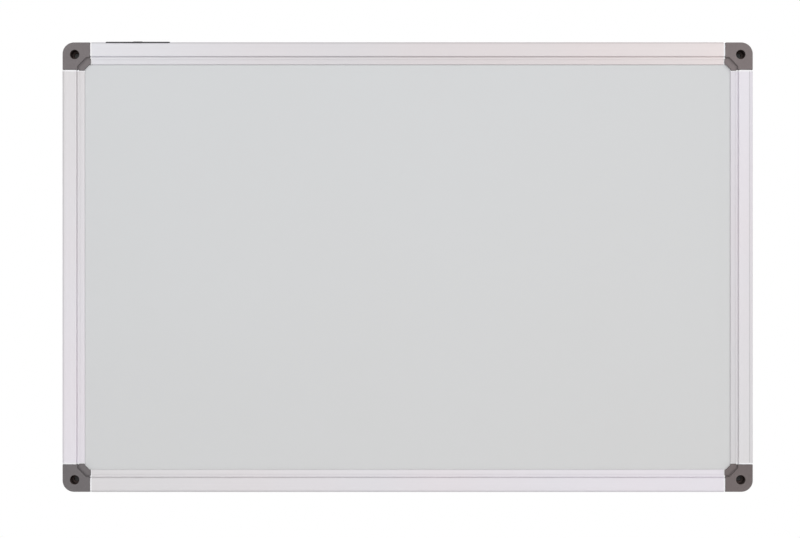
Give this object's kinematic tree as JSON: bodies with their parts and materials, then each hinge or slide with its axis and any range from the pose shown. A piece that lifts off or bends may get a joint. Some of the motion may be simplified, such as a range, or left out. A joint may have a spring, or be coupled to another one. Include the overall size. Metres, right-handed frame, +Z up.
{
  "type": "magnetic board",
  "caption": "Wall-hung magnetic dry-wipe board: steel-faced panel in an aluminium rail frame with moulded plastic corner caps that take the wall screws.",
  "frame": {"origin": "middle of the wall plane behind the board", "axes": "+X along the board's width, +Y into the wall, +Z up; the writing face looks along -Y"},
  "size_m": [0.6, 0.0145, 0.3917],
  "materials": {
    "lacquered_steel": "pale grey glossy dry-wipe lacquer",
    "satin_aluminium": "satin silver anodised extrusion",
    "moulded_plastic": "warm grey moulded plastic, finely textured",
    "galvanised_steel": "dull galvanised sheet with fine spangle",
    "fibreboard": "raw brown fibreboard",
    "zinc_plate": "bright zinc plated",
    "dark_film": "dark grey matt film, bare"
  },
  "bodies": {
    "root": {"top_rail": "satin_aluminium", "bottom_rail": "satin_aluminium", "left_rail": "satin_aluminium", "right_rail": "satin_aluminium", "corner_cap_top_left": "moulded_plastic", "corner_cap_top_right": "moulded_plastic", "corner_cap_bottom_left": "moulded_plastic", "corner_cap_bottom_right": "moulded_plastic", "corner_screw_top_left_a": "zinc_plate", "corner_screw_top_left_b": "zinc_plate", "corner_screw_top_right_a": "zinc_plate", "corner_screw_top_right_b": "zinc_plate", "corner_screw_bottom_left_a": "zinc_plate", "corner_screw_bottom_left_b": "zinc_plate", "corner_screw_bottom_right_a": "zinc_plate", "corner_screw_bottom_right_b": "zinc_plate", "writing_sheet": "lacquered_steel", "core_board": "fibreboard", "backing_sheet": "galvanised_steel", "top_edge_strip": "dark_film"}
  },
  "joints": []
}
